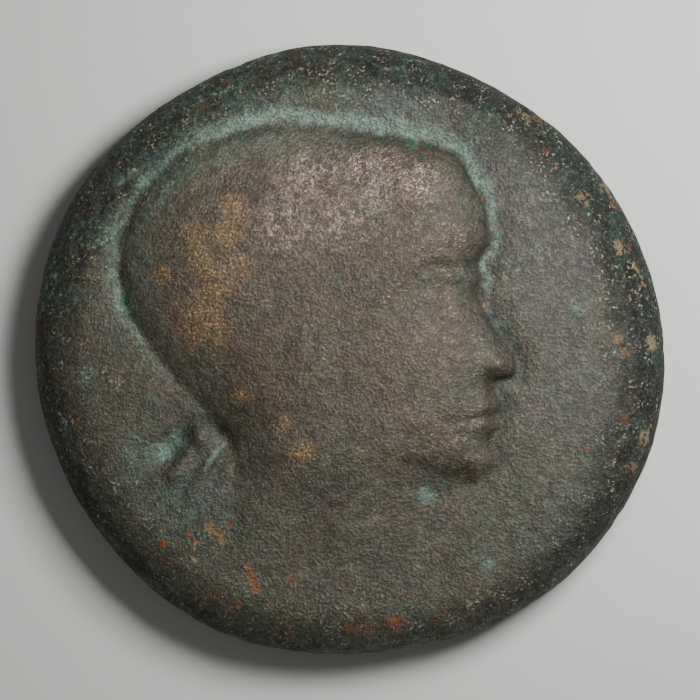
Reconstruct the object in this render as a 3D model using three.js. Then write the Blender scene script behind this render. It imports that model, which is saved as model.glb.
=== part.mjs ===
// A worn ancient bronze diobol, lying with its portrait side up.
// It is one struck piece: a thick, slightly oval flan with rounded sides, a head in profile to the right
// standing in a sunken ring on the upper side, and a worn bird standing on a bar on the lower side.
// Millimetres. +Z is up out of the portrait side, +Y runs from the neck to the crown of the head,
// and the origin is the middle of the flat that the coin rests on.
import * as THREE from 'three';
import { mergeVertices } from 'three/addons/utils/BufferGeometryUtils.js';

// Flan
const FLAN_RADIUS = 13.25;            // mean radius of the outline
const FLAN_THICKNESS = 4.0;           // from the resting flat to the middle of the portrait's field
const EDGE_LEVEL = 1.75;              // height at which the flan is widest
const OBVERSE_BEVEL = 2.1;            // width of the rounded shoulder round the portrait side
const REVERSE_BEVEL = 1.8;            // the same round the lower side
const BEVEL_SWING = 0.35;             // how much wider the shoulder is on its wide side
const BEVEL_WIDE_SIDE = 160;          // degrees, the direction of that side
const FIELD_FALL = 0.3;               // how far the portrait's field falls from the middle to the edge
const FIELD_RECESS = 0.22;            // how far the lower field lies above the resting flat

// The outline departs from a circle by these waves: rise in mm, and where one of the crests lies, in degrees.
const OUTLINE_WAVES = [
  { count: 2, rise: 0.25, crest: -15 },
  { count: 3, rise: 0.07, crest: -15 },
  { count: 4, rise: 0.05, crest: -20 },
  { count: 5, rise: 0.06, crest: 24 },
  { count: 7, rise: 0.04, crest: -10 },
];
const OUTLINE_SHIFT = 0.13;           // the outline's bulge towards the neck
const OUTLINE_SHIFT_SIDE = -97;       // degrees

// Head
const HEAD_HEIGHT = 15.6;             // from the chin to the crown of the hair
const HEAD_CENTRE = [-1.2, 1.8];      // where the middle of that height lies on the flan
const HEAD_TILT = 4;                  // degrees that the face looks up
const HEAD_DOME = 0.72;               // swell of the head above its rim
const DOME_REACH = 4.2;               // distance from the outline at which the swell is nearly full
const HEAD_STEP = 0.34;               // height of the steep rim of the head
const STEP_SHARP = 0.28;              // width of that rim where the relief is crisp
const STEP_WORN = 1.6;                // and where it is worn
const HAIR_SWELL = 0.24;              // further rise of the hair at the back of the skull
const DITCH_DEPTH = 0.26;             // the sunken ring that the head stands in
const DITCH_NARROW = 0.5;             // its width before the face
const DITCH_WIDE = 1.0;               // and over the crown
const WORN_LEVEL = -3.5;              // along y, where the relief's rim is at its most worn
const CRISP_LEVEL = 1.8;              // and where it is crisp
const FACE_CRISP = 0.5;               // how far both fall for each millimetre towards the face
const WORN_SHARE = 0.12;              // what is left of the rim where it is most worn
const BACK_WORN = -6.0;               // across the head and half down it, where the wear of its back ends
const BACK_CRISP = 2.0;               // and where the rim is as crisp as its level allows
const BACK_SHARE = 0.5;               // what is left of the rim at the back of the head
const NECK_FADE_START = -4.0;         // along y, where the neck begins to sink into the field
const NECK_FADE_END = -9.5;

// Landmarks of the head's outline as shares of its height, x towards the face and y towards the crown.
const HAIR = [
  [-0.35, -0.232], [-0.44, -0.115], [-0.528, 0.06], [-0.515, 0.234], [-0.39, 0.404],
  [-0.2, 0.486], [-0.08, 0.5], [0.04, 0.483], [0.25, 0.442], [0.39, 0.385],
];
const FACE = [
  [0.437, 0.3], [0.464, 0.225], [0.467, 0.15], [0.437, 0.092], [0.44, 0.045], [0.433, 0.0], [0.468, -0.09],
  [0.521, -0.19], [0.506, -0.226], [0.454, -0.24], [0.469, -0.298], [0.456, -0.327],
  [0.463, -0.353], [0.434, -0.395], [0.444, -0.45], [0.41, -0.497], [0.33, -0.512],
];
const NECK = [
  [0.262, -0.548], [0.238, -0.66], [0.29, -0.82], [-0.36, -0.82], [-0.28, -0.56], [-0.262, -0.37], [-0.3, -0.29],
];
const OUTLINE_STEPS = 7;              // straight pieces from one landmark to the next

// Worn details of the head. Places and sizes are shares of its height, rises are in mm.
const FACE_DETAILS = [
  { name: 'eye socket', at: [0.36, 0.0], long: 0.08, wide: 0.052, turn: 0, rise: -0.19 },
  { name: 'eyeball', at: [0.358, -0.018], long: 0.04, wide: 0.028, turn: 0, rise: 0.2 },
  { name: 'upper lid', at: [0.348, 0.012], long: 0.054, wide: 0.012, turn: 10, rise: 0.12 },
  { name: 'lower lid', at: [0.346, -0.05], long: 0.046, wide: 0.012, turn: -8, rise: 0.08 },
  { name: 'brow', at: [0.36, 0.055], long: 0.09, wide: 0.022, turn: -5, rise: 0.1 },
  { name: 'cheek', at: [0.2, -0.15], long: 0.14, wide: 0.11, turn: 20, rise: 0.12 },
  { name: 'nostril', at: [0.452, -0.207], long: 0.032, wide: 0.024, turn: 30, rise: 0.1 },
  { name: 'upper lip', at: [0.428, -0.304], long: 0.045, wide: 0.018, turn: 8, rise: 0.07 },
  { name: 'mouth', at: [0.415, -0.331], long: 0.058, wide: 0.01, turn: 5, rise: -0.1 },
  { name: 'lower lip', at: [0.425, -0.357], long: 0.038, wide: 0.018, turn: 4, rise: 0.07 },
  { name: 'chin', at: [0.395, -0.445], long: 0.06, wide: 0.045, turn: -20, rise: 0.09 },
  { name: 'ear', at: [-0.03, -0.1], long: 0.085, wide: 0.045, turn: 80, rise: 0.13 },
  { name: 'ear hollow', at: [-0.025, -0.095], long: 0.045, wide: 0.018, turn: 80, rise: -0.13 },
];
const HAIR_TIE = [
  { name: 'knot', at: [-0.349, -0.328], long: 0.03, wide: 0.026, turn: 60, rise: 0.3 },
  { name: 'first end', at: [-0.392, -0.38], long: 0.055, wide: 0.018, turn: 50, rise: 0.2 },
  { name: 'second end', at: [-0.339, -0.414], long: 0.064, wide: 0.016, turn: 52, rise: 0.2 },
  { name: 'tip', at: [-0.434, -0.43], long: 0.024, wide: 0.016, turn: 20, rise: 0.14 },
  { name: 'hollow behind', at: [-0.439, -0.352], long: 0.055, wide: 0.036, turn: 38, rise: -0.34 },
  { name: 'hollow before', at: [-0.3, -0.322], long: 0.04, wide: 0.02, turn: -40, rise: -0.2 },
  { name: 'hollow beside', at: [-0.3, -0.4], long: 0.055, wide: 0.018, turn: 52, rise: -0.16 },
];

// The fringe stands over the forehead, and its lower edge falls towards the ear, where it is worn away.
const FRINGE_RISE = 0.26;             // mm that it stands above the face
const FRINGE_ROUND = 0.6;             // mm from the outline at which it has its full rise
const FRINGE_EDGE_WIDTH = 0.022;      // shares of the head's height from here on
const FRINGE_FRONT = [0.3, 0.095];    // before this point its edge is level
const FRINGE_TEMPLE = [0.1, -0.06];
const FRINGE_WORN = 0.0;              // along x, where the edge is worn away
const FRINGE_CRISP = 0.4;             // and where it is crisp

// The jaw runs down from below the ear to the chin.
const JAW_STEP = 0.3;                 // mm that the neck lies below the chin
const JAW_CORNER = [-0.02, -0.34];
const JAW_CHIN = [0.4, -0.505];
const JAW_EDGE_WIDTH = 0.018;

// Bird on the lower side, seen from below: shares of its height, with the radius at each end of a limb.
const BIRD_HEIGHT = 15;
const BIRD_RELIEF = 0.36;             // how far it stands out before its top was worn flat
const BIRD_EDGE = 0.9;                // width of its sloping sides
const BIRD_BLEND = 0.5;               // width over which two limbs run into each other
const BIRD_LIMBS = [
  { name: 'body', from: [-0.02, 0.2], to: [0.13, -0.14], radii: [0.14, 0.085] },
  { name: 'neck', from: [-0.04, 0.27], to: [-0.1, 0.4], radii: [0.085, 0.055] },
  { name: 'head', from: [-0.11, 0.42], to: [-0.13, 0.425], radii: [0.058, 0.05] },
  { name: 'beak', from: [-0.15, 0.42], to: [-0.205, 0.4], radii: [0.032, 0.012] },
  { name: 'wing', from: [0.07, 0.24], to: [0.27, -0.2], radii: [0.09, 0.03] },
  { name: 'tail', from: [0.16, -0.18], to: [0.25, -0.34], radii: [0.05, 0.065] },
  { name: 'near leg', from: [0.02, -0.1], to: [-0.04, -0.37], radii: [0.06, 0.03] },
  { name: 'far leg', from: [0.1, -0.14], to: [0.09, -0.37], radii: [0.05, 0.028] },
  { name: 'bar', from: [-0.26, -0.4], to: [0.3, -0.4], radii: [0.038, 0.038] },
];

// Mesh
const FACE_SHARE = 0.7;               // share of the way from a pole to the edge that belongs to a face
const FIRST_DIVISIONS = 9;
const LARGEST_ERROR = 0.03;           // mm between a straight edge and the surface
const SHORTEST_EDGE = 0.25;           // mm

const radians = THREE.MathUtils.degToRad;
const { lerp, smoothstep } = THREE.MathUtils;

// The flan's outline

function outlineRadius(azimuth) {
  let radius = FLAN_RADIUS + OUTLINE_SHIFT * Math.cos(azimuth - radians(OUTLINE_SHIFT_SIDE));
  for (const { count, rise, crest } of OUTLINE_WAVES) {
    radius += rise * Math.cos(count * (azimuth - radians(crest)));
  }
  return radius;
}

function bevelWidth(width, azimuth) {
  return width + BEVEL_SWING * Math.cos(azimuth - radians(BEVEL_WIDE_SIDE));
}

// The head's own frame

function toHead(x, y) {
  const [across, up] = [x - HEAD_CENTRE[0], y - HEAD_CENTRE[1]];
  const [cos, sin] = [Math.cos(radians(HEAD_TILT)), Math.sin(radians(HEAD_TILT))];
  return [(across * cos + up * sin) / HEAD_HEIGHT, (up * cos - across * sin) / HEAD_HEIGHT];
}

function fromHead([along, up]) {
  const [cos, sin] = [Math.cos(radians(HEAD_TILT)), Math.sin(radians(HEAD_TILT))];
  return new THREE.Vector3(
    HEAD_CENTRE[0] + HEAD_HEIGHT * (along * cos - up * sin),
    HEAD_CENTRE[1] + HEAD_HEIGHT * (along * sin + up * cos),
    0,
  );
}

function headOutline() {
  const landmarks = [...HAIR, ...FACE, ...NECK].map(fromHead);
  const curve = new THREE.CatmullRomCurve3(landmarks, true, 'centripetal');
  return curve.getPoints(landmarks.length * OUTLINE_STEPS);
}

const OUTLINE = headOutline();

// How far a point lies inside the head's outline, negative outside, and a softer measure of the same depth
// that has no creases: the field of an evenly charged outline, scaled to be the distance from a straight one.
function depthInHead(x, y) {
  let nearest = Infinity;
  let field = 0;
  let isInside = false;
  for (let i = 1; i < OUTLINE.length; i += 1) {
    const [a, b] = [OUTLINE[i - 1], OUTLINE[i]];
    const [runX, runY] = [b.x - a.x, b.y - a.y];
    const length = Math.hypot(runX, runY);
    const along = ((x - a.x) * runX + (y - a.y) * runY) / length ** 2;
    const share = Math.min(1, Math.max(0, along));
    nearest = Math.min(nearest, Math.hypot(x - a.x - share * runX, y - a.y - share * runY));
    const middle = Math.hypot(x - a.x - runX / 2, y - a.y - runY / 2);
    field += length / Math.max(middle, length / 2) ** 4;
    if ((a.y > y) !== (b.y > y) && x < a.x + (runX * (y - a.y)) / runY) isInside = !isInside;
  }
  const soft = Math.cbrt(Math.PI / 2 / field);
  return isInside ? [nearest, soft] : [-nearest, 0];
}

// A smooth oval bump or hollow in the head's frame
function detailRise([along, up], { at, long, wide, turn, rise }) {
  const [cos, sin] = [Math.cos(radians(turn)), Math.sin(radians(turn))];
  const lengthwise = ((along - at[0]) * cos + (up - at[1]) * sin) / long;
  const sideways = ((up - at[1]) * cos - (along - at[0]) * sin) / wide;
  return rise * Math.exp(-lengthwise * lengthwise - sideways * sideways);
}

function fringeRise([along, up]) {
  const edge = lerp(FRINGE_TEMPLE[1], FRINGE_FRONT[1], smoothstep(along, FRINGE_TEMPLE[0], FRINGE_FRONT[0]));
  const above = smoothstep(up, edge - FRINGE_EDGE_WIDTH, edge + FRINGE_EDGE_WIDTH);
  return FRINGE_RISE * above * smoothstep(along, FRINGE_WORN, FRINGE_CRISP);
}

function jawDrop([along, up]) {
  const run = (along - JAW_CORNER[0]) / (JAW_CHIN[0] - JAW_CORNER[0]);
  const edge = lerp(JAW_CORNER[1], JAW_CHIN[1], run);
  const below = smoothstep(edge - up, -JAW_EDGE_WIDTH, JAW_EDGE_WIDTH);
  return JAW_STEP * below * smoothstep(run, 0.2, 0.9);
}

// Height of the portrait side above the resting flat
function obverseLevel(x, y) {
  const [inside, soft] = depthInHead(x, y);
  const place = toHead(x, y);
  const lowWear = smoothstep(y + FACE_CRISP * Math.max(0, x), WORN_LEVEL, CRISP_LEVEL);
  const backWear = lerp(BACK_SHARE, 1, smoothstep(x - y / 2, BACK_WORN, BACK_CRISP));
  const crisp = lerp(WORN_SHARE, 1, lowWear * backWear);
  const neckFade = smoothstep(y, NECK_FADE_END, NECK_FADE_START);
  const fall = (FIELD_FALL * (x * x + y * y)) / FLAN_RADIUS ** 2;
  let level = FLAN_THICKNESS - fall;
  if (inside > 0) {
    const rimWidth = lerp(STEP_WORN, STEP_SHARP, crisp);
    const swell = 1 - (1 - Math.min(1, soft / DOME_REACH)) ** 2;
    const skull = detailRise(place, { at: [-0.12, 0.2], long: 0.4, wide: 0.3, turn: 0, rise: HAIR_SWELL });
    let relief = HEAD_DOME * swell + HEAD_STEP * (1 - Math.exp(-inside / rimWidth)) + skull * swell;
    relief += fringeRise(place) * Math.sqrt(Math.min(1, inside / FRINGE_ROUND));
    relief -= jawDrop(place) * Math.min(1, inside / STEP_WORN);
    for (const detail of FACE_DETAILS) relief += detailRise(place, detail);
    level += relief * neckFade;
  }
  const ditchWidth = lerp(DITCH_NARROW, DITCH_WIDE, smoothstep(y - x / 2, -4, 6));
  level -= DITCH_DEPTH * crisp * Math.exp(-((inside / ditchWidth) ** 2));
  for (const detail of HAIR_TIE) level += detailRise(place, detail);
  return level;
}

// Distance inside a limb that tapers from one rounded end to the other, negative outside
function depthInLimb(across, up, { from, to, radii }) {
  const [runX, runY] = [to[0] - from[0], to[1] - from[1]];
  const along = ((across - from[0]) * runX + (up - from[1]) * runY) / (runX * runX + runY * runY);
  const share = Math.min(1, Math.max(0, along));
  const distance = Math.hypot(across - from[0] - share * runX, up - from[1] - share * runY);
  return lerp(radii[0], radii[1], share) - distance;
}

// Height of the lower side above the resting flat. The bird's top is worn down to that flat.
function reverseLevel(x, y) {
  const [across, up] = [-x / BIRD_HEIGHT, y / BIRD_HEIGHT];
  let sum = 0;
  for (const limb of BIRD_LIMBS) {
    sum += Math.exp((depthInLimb(across, up, limb) * BIRD_HEIGHT) / (BIRD_BLEND / 2));
  }
  const inside = (Math.log(sum) * BIRD_BLEND) / 2;
  const relief = BIRD_RELIEF * smoothstep(inside, -BIRD_EDGE / 2, BIRD_EDGE / 2);
  return Math.max(0, FIELD_RECESS - relief);
}

// The coin's surface in the direction of a point on the unit sphere: each half of the sphere becomes one face
// out to FACE_SHARE of the way to the equator, and a quarter of an ellipse from there down to the edge.
function surfacePoint(direction) {
  const azimuth = Math.atan2(direction.y, direction.x);
  const isObverse = direction.z >= 0;
  const fromPole = Math.acos(Math.min(1, Math.abs(direction.z))) / (Math.PI / 2);
  const bevel = bevelWidth(isObverse ? OBVERSE_BEVEL : REVERSE_BEVEL, azimuth);
  const faceRadius = outlineRadius(azimuth) - bevel;
  const turn = (Math.max(0, fromPole - FACE_SHARE) / (1 - FACE_SHARE)) * (Math.PI / 2);
  const radius = faceRadius * Math.min(1, fromPole / FACE_SHARE) + bevel * Math.sin(turn);
  const [x, y] = [radius * Math.cos(azimuth), radius * Math.sin(azimuth)];
  const level = isObverse ? obverseLevel(x, y) : reverseLevel(x, y);
  return new THREE.Vector3(x, y, lerp(EDGE_LEVEL, level, Math.cos(turn)));
}

// A triangle mesh over the unit sphere whose edges are halved until they lie close to the surface.

function startingMesh() {
  const sphere = new THREE.IcosahedronGeometry(1, FIRST_DIVISIONS);
  sphere.deleteAttribute('normal');
  sphere.deleteAttribute('uv');
  const merged = mergeVertices(sphere, 1e-5);
  const position = merged.getAttribute('position');
  const directions = Array.from({ length: position.count }, (_, i) =>
    new THREE.Vector3().fromBufferAttribute(position, i).normalize());
  const corners = merged.index.array;
  const triangles = [];
  for (let i = 0; i < corners.length; i += 3) triangles.push([corners[i], corners[i + 1], corners[i + 2]]);
  return { directions, points: directions.map(surfacePoint), triangles };
}

const edgeName = (a, b) => (a < b ? `${a} ${b}` : `${b} ${a}`);
const sidesOf = ([a, b, c]) => [[a, b], [b, c], [c, a]];

function needsHalving({ directions, points }, a, b) {
  if (points[a].distanceTo(points[b]) < 2 * SHORTEST_EDGE) return false;
  return [0.25, 0.5, 0.75].some((share) => {
    const direction = directions[a].clone().lerp(directions[b], share).normalize();
    const straight = points[a].clone().lerp(points[b], share);
    const gap = surfacePoint(direction).sub(straight);
    return Math.max(Math.hypot(gap.x, gap.y), Math.abs(gap.z)) > LARGEST_ERROR;
  });
}

function halvingMarks(mesh, tested) {
  const marks = new Set();
  for (const triangle of mesh.triangles) {
    for (const [a, b] of sidesOf(triangle)) {
      const name = edgeName(a, b);
      if (!tested.has(name)) tested.set(name, needsHalving(mesh, a, b));
      if (tested.get(name)) marks.add(name);
    }
  }
  return marks;
}

// A triangle with a marked side also has its longest side halved, which keeps the triangles well shaped.
function closeMarks({ points, triangles }, marks) {
  let before = -1;
  while (marks.size !== before) {
    before = marks.size;
    for (const triangle of triangles) {
      const sides = sidesOf(triangle);
      if (!sides.some(([a, b]) => marks.has(edgeName(a, b)))) continue;
      const lengths = sides.map(([a, b]) => points[a].distanceTo(points[b]));
      const [a, b] = sides[lengths.indexOf(Math.max(...lengths))];
      marks.add(edgeName(a, b));
    }
  }
}

function splitTriangles(mesh, marks) {
  const middles = new Map();
  const middleOf = (a, b) => {
    const name = edgeName(a, b);
    if (!marks.has(name)) return -1;
    if (!middles.has(name)) {
      const direction = mesh.directions[a].clone().add(mesh.directions[b]).normalize();
      mesh.directions.push(direction);
      mesh.points.push(surfacePoint(direction));
      middles.set(name, mesh.directions.length - 1);
    }
    return middles.get(name);
  };
  mesh.triangles = mesh.triangles.flatMap((triangle) => splitOne(mesh.points, triangle, middleOf));
}

// The triangle is turned so that its longest side comes first, and that side is halved before the others.
function splitOne(points, triangle, middleOf) {
  const lengths = sidesOf(triangle).map(([a, b]) => points[a].distanceTo(points[b]));
  const first = lengths.indexOf(Math.max(...lengths));
  const [a, b, c] = [0, 1, 2].map((i) => triangle[(first + i) % 3]);
  const [ab, bc, ca] = [middleOf(a, b), middleOf(b, c), middleOf(c, a)];
  if (ab < 0) return [[a, b, c]];
  const right = bc < 0 ? [[ab, b, c]] : [[ab, b, bc], [ab, bc, c]];
  const left = ca < 0 ? [[a, ab, c]] : [[a, ab, ca], [ab, c, ca]];
  return [...left, ...right];
}

function coinGeometry() {
  const mesh = startingMesh();
  const tested = new Map();
  for (let marks = halvingMarks(mesh, tested); marks.size > 0; marks = halvingMarks(mesh, tested)) {
    closeMarks(mesh, marks);
    splitTriangles(mesh, marks);
  }
  const geometry = new THREE.BufferGeometry().setFromPoints(mesh.points);
  geometry.setIndex(mesh.triangles.flat());
  geometry.computeBoundingBox();
  const middle = geometry.boundingBox.getCenter(new THREE.Vector3());
  geometry.translate(-middle.x, -middle.y, 0);
  geometry.computeVertexNormals();
  return geometry;
}

function bronze() {
  return new THREE.MeshStandardMaterial({ color: 0x5a5147, roughness: 0.6, metalness: 0.55 });
}

const coin = new THREE.Mesh(coinGeometry(), bronze());
coin.name = 'coin';

const diobol = new THREE.Group();
diobol.add(coin);

export default diobol;
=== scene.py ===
"""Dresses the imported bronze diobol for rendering.

The coin's mesh repeats the relief of the part's own source on a fine grid, and adds the skin of a buried
bronze: slight unevenness, corrosion pits and a rough edge. One patina material colours it: dull brown skin,
worn metal, pale green verdigris in the hollows, and small warm spots, each laid down by a mask on the mesh.

Lengths are in millimetres in the frame's own axes until the mesh is made, and the camera and lights are
placed in metres. Angles are in degrees.
"""
import itertools

import bpy
import numpy as np
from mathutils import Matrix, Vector


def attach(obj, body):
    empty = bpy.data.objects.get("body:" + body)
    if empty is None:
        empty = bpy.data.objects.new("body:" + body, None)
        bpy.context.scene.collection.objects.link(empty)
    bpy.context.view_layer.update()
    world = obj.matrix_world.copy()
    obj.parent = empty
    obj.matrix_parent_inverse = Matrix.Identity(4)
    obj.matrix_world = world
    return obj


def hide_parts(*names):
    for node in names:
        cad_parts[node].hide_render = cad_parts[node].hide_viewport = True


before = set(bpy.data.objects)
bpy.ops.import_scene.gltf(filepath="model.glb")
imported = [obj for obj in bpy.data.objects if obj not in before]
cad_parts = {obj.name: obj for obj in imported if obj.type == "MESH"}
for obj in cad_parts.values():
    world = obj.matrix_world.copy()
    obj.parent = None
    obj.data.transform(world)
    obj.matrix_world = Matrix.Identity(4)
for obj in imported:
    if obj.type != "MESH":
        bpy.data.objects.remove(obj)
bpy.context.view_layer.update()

# Flan
FLAN_RADIUS = 13.25  # mean radius of the outline
FLAN_THICKNESS = 4.0  # from the resting flat to the middle of the portrait's field
EDGE_LEVEL = 1.75  # height at which the flan is widest
OBVERSE_BEVEL = 2.1  # width of the rounded shoulder round the portrait side
REVERSE_BEVEL = 1.8  # and round the lower side
BEVEL_SWING = 0.35  # how much wider the shoulder is on its wide side
BEVEL_WIDE_SIDE = 160  # degrees
FIELD_FALL = 0.3  # how far the portrait's field falls from the middle to the edge
FIELD_RECESS = 0.22  # how far the lower field lies above the resting flat

# Waves of the outline: (count, rise, where a crest lies), and its bulge towards the neck
OUTLINE_WAVES = [(2, 0.25, -15), (3, 0.07, -15), (4, 0.05, -20), (5, 0.06, 24), (7, 0.04, -10)]
OUTLINE_SHIFT = 0.13
OUTLINE_SHIFT_SIDE = -97

# Head
HEAD_HEIGHT = 15.6  # from the chin to the crown of the hair
HEAD_CENTRE = (-1.2, 1.8)  # where the middle of that height lies on the flan
HEAD_TILT = 4  # degrees that the face looks up
HEAD_DOME = 0.72  # swell of the head above its rim
DOME_REACH = 4.2  # distance from the outline at which the swell is full
HEAD_STEP = 0.34  # height of the steep rim of the head
STEP_SHARP = 0.28  # width of that rim where the relief is crisp
STEP_WORN = 1.6  # and where it is worn
HAIR_SWELL = 0.24  # further rise of the hair at the back of the skull
DITCH_DEPTH = 0.26  # the sunken ring that the head stands in
DITCH_NARROW = 0.5  # its width before the face
DITCH_WIDE = 1.0  # and over the crown
DITCH_CHANGE = (-4, 6)  # where one goes over into the other, along y - x / 2
WORN_LEVEL = -3.5  # along y, where the relief's rim is at its most worn
CRISP_LEVEL = 1.8  # and where it is crisp
FACE_CRISP = 0.5  # how far both fall for each millimetre towards the face
WORN_SHARE = 0.12  # what is left of the rim where it is most worn
BACK_WORN = -6.0  # along x - y / 2, where the wear of the head's back ends
BACK_CRISP = 2.0  # and where the rim is as crisp as its level allows
BACK_SHARE = 0.5  # what is left of the rim at the back of the head
NECK_FADE_START = -4.0  # along y, where the neck begins to sink into the field
NECK_FADE_END = -9.5

# Landmarks of the head's outline as shares of its height, x towards the face and y towards the crown
HAIR = [
    (-0.35, -0.232), (-0.44, -0.115), (-0.528, 0.06), (-0.515, 0.234), (-0.39, 0.404),
    (-0.2, 0.486), (-0.08, 0.5), (0.04, 0.483), (0.25, 0.442), (0.39, 0.385),
]
FACE = [
    (0.437, 0.3), (0.464, 0.225), (0.467, 0.15), (0.437, 0.092), (0.44, 0.045), (0.433, 0.0), (0.468, -0.09),
    (0.521, -0.19), (0.506, -0.226), (0.454, -0.24), (0.469, -0.298), (0.456, -0.327),
    (0.463, -0.353), (0.434, -0.395), (0.444, -0.45), (0.41, -0.497), (0.33, -0.512),
]
NECK = [
    (0.262, -0.548), (0.238, -0.66), (0.29, -0.82), (-0.36, -0.82), (-0.28, -0.56), (-0.262, -0.37),
    (-0.3, -0.29),
]
OUTLINE_STEPS = 10  # straight pieces from one landmark to the next

# Worn details: place, length, width, turn and rise. The first three are shares of the head's height.
SKULL = ((-0.12, 0.2), 0.4, 0.3, 0, HAIR_SWELL)
FACE_DETAILS = {
    "eye socket": ((0.36, 0.0), 0.08, 0.052, 0, -0.19),
    "eyeball": ((0.358, -0.018), 0.04, 0.028, 0, 0.2),
    "upper lid": ((0.348, 0.012), 0.054, 0.012, 10, 0.12),
    "lower lid": ((0.346, -0.05), 0.046, 0.012, -8, 0.08),
    "brow": ((0.36, 0.055), 0.09, 0.022, -5, 0.1),
    "cheek": ((0.2, -0.15), 0.14, 0.11, 20, 0.12),
    "nostril": ((0.452, -0.207), 0.032, 0.024, 30, 0.1),
    "upper lip": ((0.428, -0.304), 0.045, 0.018, 8, 0.07),
    "mouth": ((0.415, -0.331), 0.058, 0.01, 5, -0.1),
    "lower lip": ((0.425, -0.357), 0.038, 0.018, 4, 0.07),
    "chin": ((0.395, -0.445), 0.06, 0.045, -20, 0.09),
    "ear": ((-0.03, -0.1), 0.085, 0.045, 80, 0.13),
    "ear hollow": ((-0.025, -0.095), 0.045, 0.018, 80, -0.13),
}
HAIR_TIE = {
    "knot": ((-0.349, -0.328), 0.03, 0.026, 60, 0.3),
    "first end": ((-0.392, -0.38), 0.055, 0.018, 50, 0.2),
    "second end": ((-0.339, -0.414), 0.064, 0.016, 52, 0.2),
    "tip": ((-0.434, -0.43), 0.024, 0.016, 20, 0.14),
    "hollow behind": ((-0.439, -0.352), 0.055, 0.036, 38, -0.34),
    "hollow before": ((-0.3, -0.322), 0.04, 0.02, -40, -0.2),
    "hollow beside": ((-0.3, -0.4), 0.055, 0.018, 52, -0.16),
}
FRINGE_RISE = 0.26
FRINGE_ROUND = 0.6  # how far inside the outline the fringe is full
FRINGE_EDGE_WIDTH = 0.022
FRINGE_FRONT = (0.3, 0.095)
FRINGE_TEMPLE = (0.1, -0.06)
FRINGE_WORN = 0.0  # across the head, where the fringe is worn away
FRINGE_CRISP = 0.4
JAW_STEP = 0.3
JAW_CORNER = (-0.02, -0.34)
JAW_CHIN = (0.4, -0.505)
JAW_EDGE_WIDTH = 0.018
JAW_GROWS = (0.2, 0.9)  # shares of the way from the corner to the chin

# Bird on the lower side: (from, to, radius at each end), seen from below, as shares of its height
BIRD_HEIGHT = 15
BIRD_RELIEF = 0.36
BIRD_EDGE = 0.9  # width of its worn edge
BIRD_BLEND = 0.5  # how softly its limbs join
BIRD_LIMBS = {
    "body": ((-0.02, 0.2), (0.13, -0.14), (0.14, 0.085)),
    "neck": ((-0.04, 0.27), (-0.1, 0.4), (0.085, 0.055)),
    "head": ((-0.11, 0.42), (-0.13, 0.425), (0.058, 0.05)),
    "beak": ((-0.15, 0.42), (-0.205, 0.4), (0.032, 0.012)),
    "wing": ((0.07, 0.24), (0.27, -0.2), (0.09, 0.03)),
    "tail": ((0.16, -0.18), (0.25, -0.34), (0.05, 0.065)),
    "near leg": ((0.02, -0.1), (-0.04, -0.37), (0.06, 0.03)),
    "far leg": ((0.1, -0.14), (0.09, -0.37), (0.05, 0.028)),
    "bar": ((-0.26, -0.4), (0.3, -0.4), (0.038, 0.038)),
}

# Mesh
GRID = 222  # squares along one side of the net of each face
FACE_SHARE = 0.76  # share of the way from the middle of a net to its edge that belongs to the face
HOLLOW_REACH = 5  # nodes to each side that a node's height is compared with
HOLLOW_DEPTH = 0.07  # difference that counts as a full hollow
MM = 0.001

# Skin: the size of its blobs, and their rise or depth
WAVE_SIZE, WAVE_RISE = 1.1, 0.026
SWELL_SIZE, SWELL_RISE = 3.0, 0.03
LUMP_SIZE, LUMP_RISE = 0.45, 0.018
PIT_SIZE, PIT_DEPTH = 0.6, 0.05
CRUST_SIZE, CRUST_RISE = 0.3, 0.05
FLAKE_RISE = 0.022
WAVES_AT_EDGE = 0.3  # share of the waves that the edge keeps
PITS_IN_FIELD = 0.4  # share of the pits' depth away from the edge
FLAKES = [(100, 0.6), (200, 0.4)]  # (how many go round the edge, share)
FLAKE_SPAN = 30  # width of a flake times how many go round
BUMP_HEIGHT = 0.02
SCRATCH_SIZE = (0.17, 0.05, 0.3)
SCRATCH_TURNS = (20, 80, 140)  # degrees

# Noise that shifts the masks so that their edges waver. The second is a share of the radius.
WOBBLE_SIZE, WOBBLE_REACH = 0.9, 0.12
EDGE_WOBBLE_SIZE, EDGE_WOBBLE = 2.0, 0.02

# Strength of the verdigris round the head, by direction from the head's centre in degrees
DEPOSIT_DIRECTIONS = [-50, -35, -24, -7, 12, 39, 61, 90, 114, 135, 155, 170, 180, 194, 209, 225]
DEPOSIT_STRENGTHS = [0, 0.25, 0.3, 0.35, 0.6, 0.65, 0.72, 0.82, 0.85, 0.5, 0.42, 0.5, 0.6, 0.4, 0.2, 0]

# Soft lines along the head's outline: how far inside it their middle lies, and how far they spread
DITCH_MIDDLE = -0.3
DITCH_SPREAD = 0.28
DITCH_OUTER_SPREAD = (0.3, 0.52)  # towards the field, at the neck and at the crown
HALO_LINE = (-1.2, 1.1)
DUST_LINE = (0.6, 0.7)
SHORE_LINE = (-0.12, 0.1)
SHOULDER_LINE = (0.7, 1.0)
# Painted shade: the dark line just inside the head's outline
SEAM_SHADE_LINE = (0.03, 0.12)

# Where layers come in: along y, or along a slant, or inside the head's outline, or by share of the radius
CROWN_SLANT = (-1, 7)  # y - x / 2
DUST_SLANT = (-10, -4)  # x - y / 2
SHOULDER_SLANT = (-8, -2)  # x - y / 2
# Painted shade: the slant along which the right-hand edge is darkened
EDGE_SHADE_SLANT = (-2, 9)  # x + y / 3
DUST_LEVEL = (0, 4)
HEAD_LEVEL = (-9, 0)
HEAD_SIDES = (3.5, 6.5)  # across, from the head's centre
HEAD_INSIDE = (0.1, 1.8)
WORN_INSIDE = (0.0, 1.0)
CROWN_INSIDE = (0.0, 0.8)
GREEN_REACH = (0.86, 0.93)
# Painted shade: shares of the radius over which the right-hand edge darkens
EDGE_SHADE_REACH = (0.72, 0.96)

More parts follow.
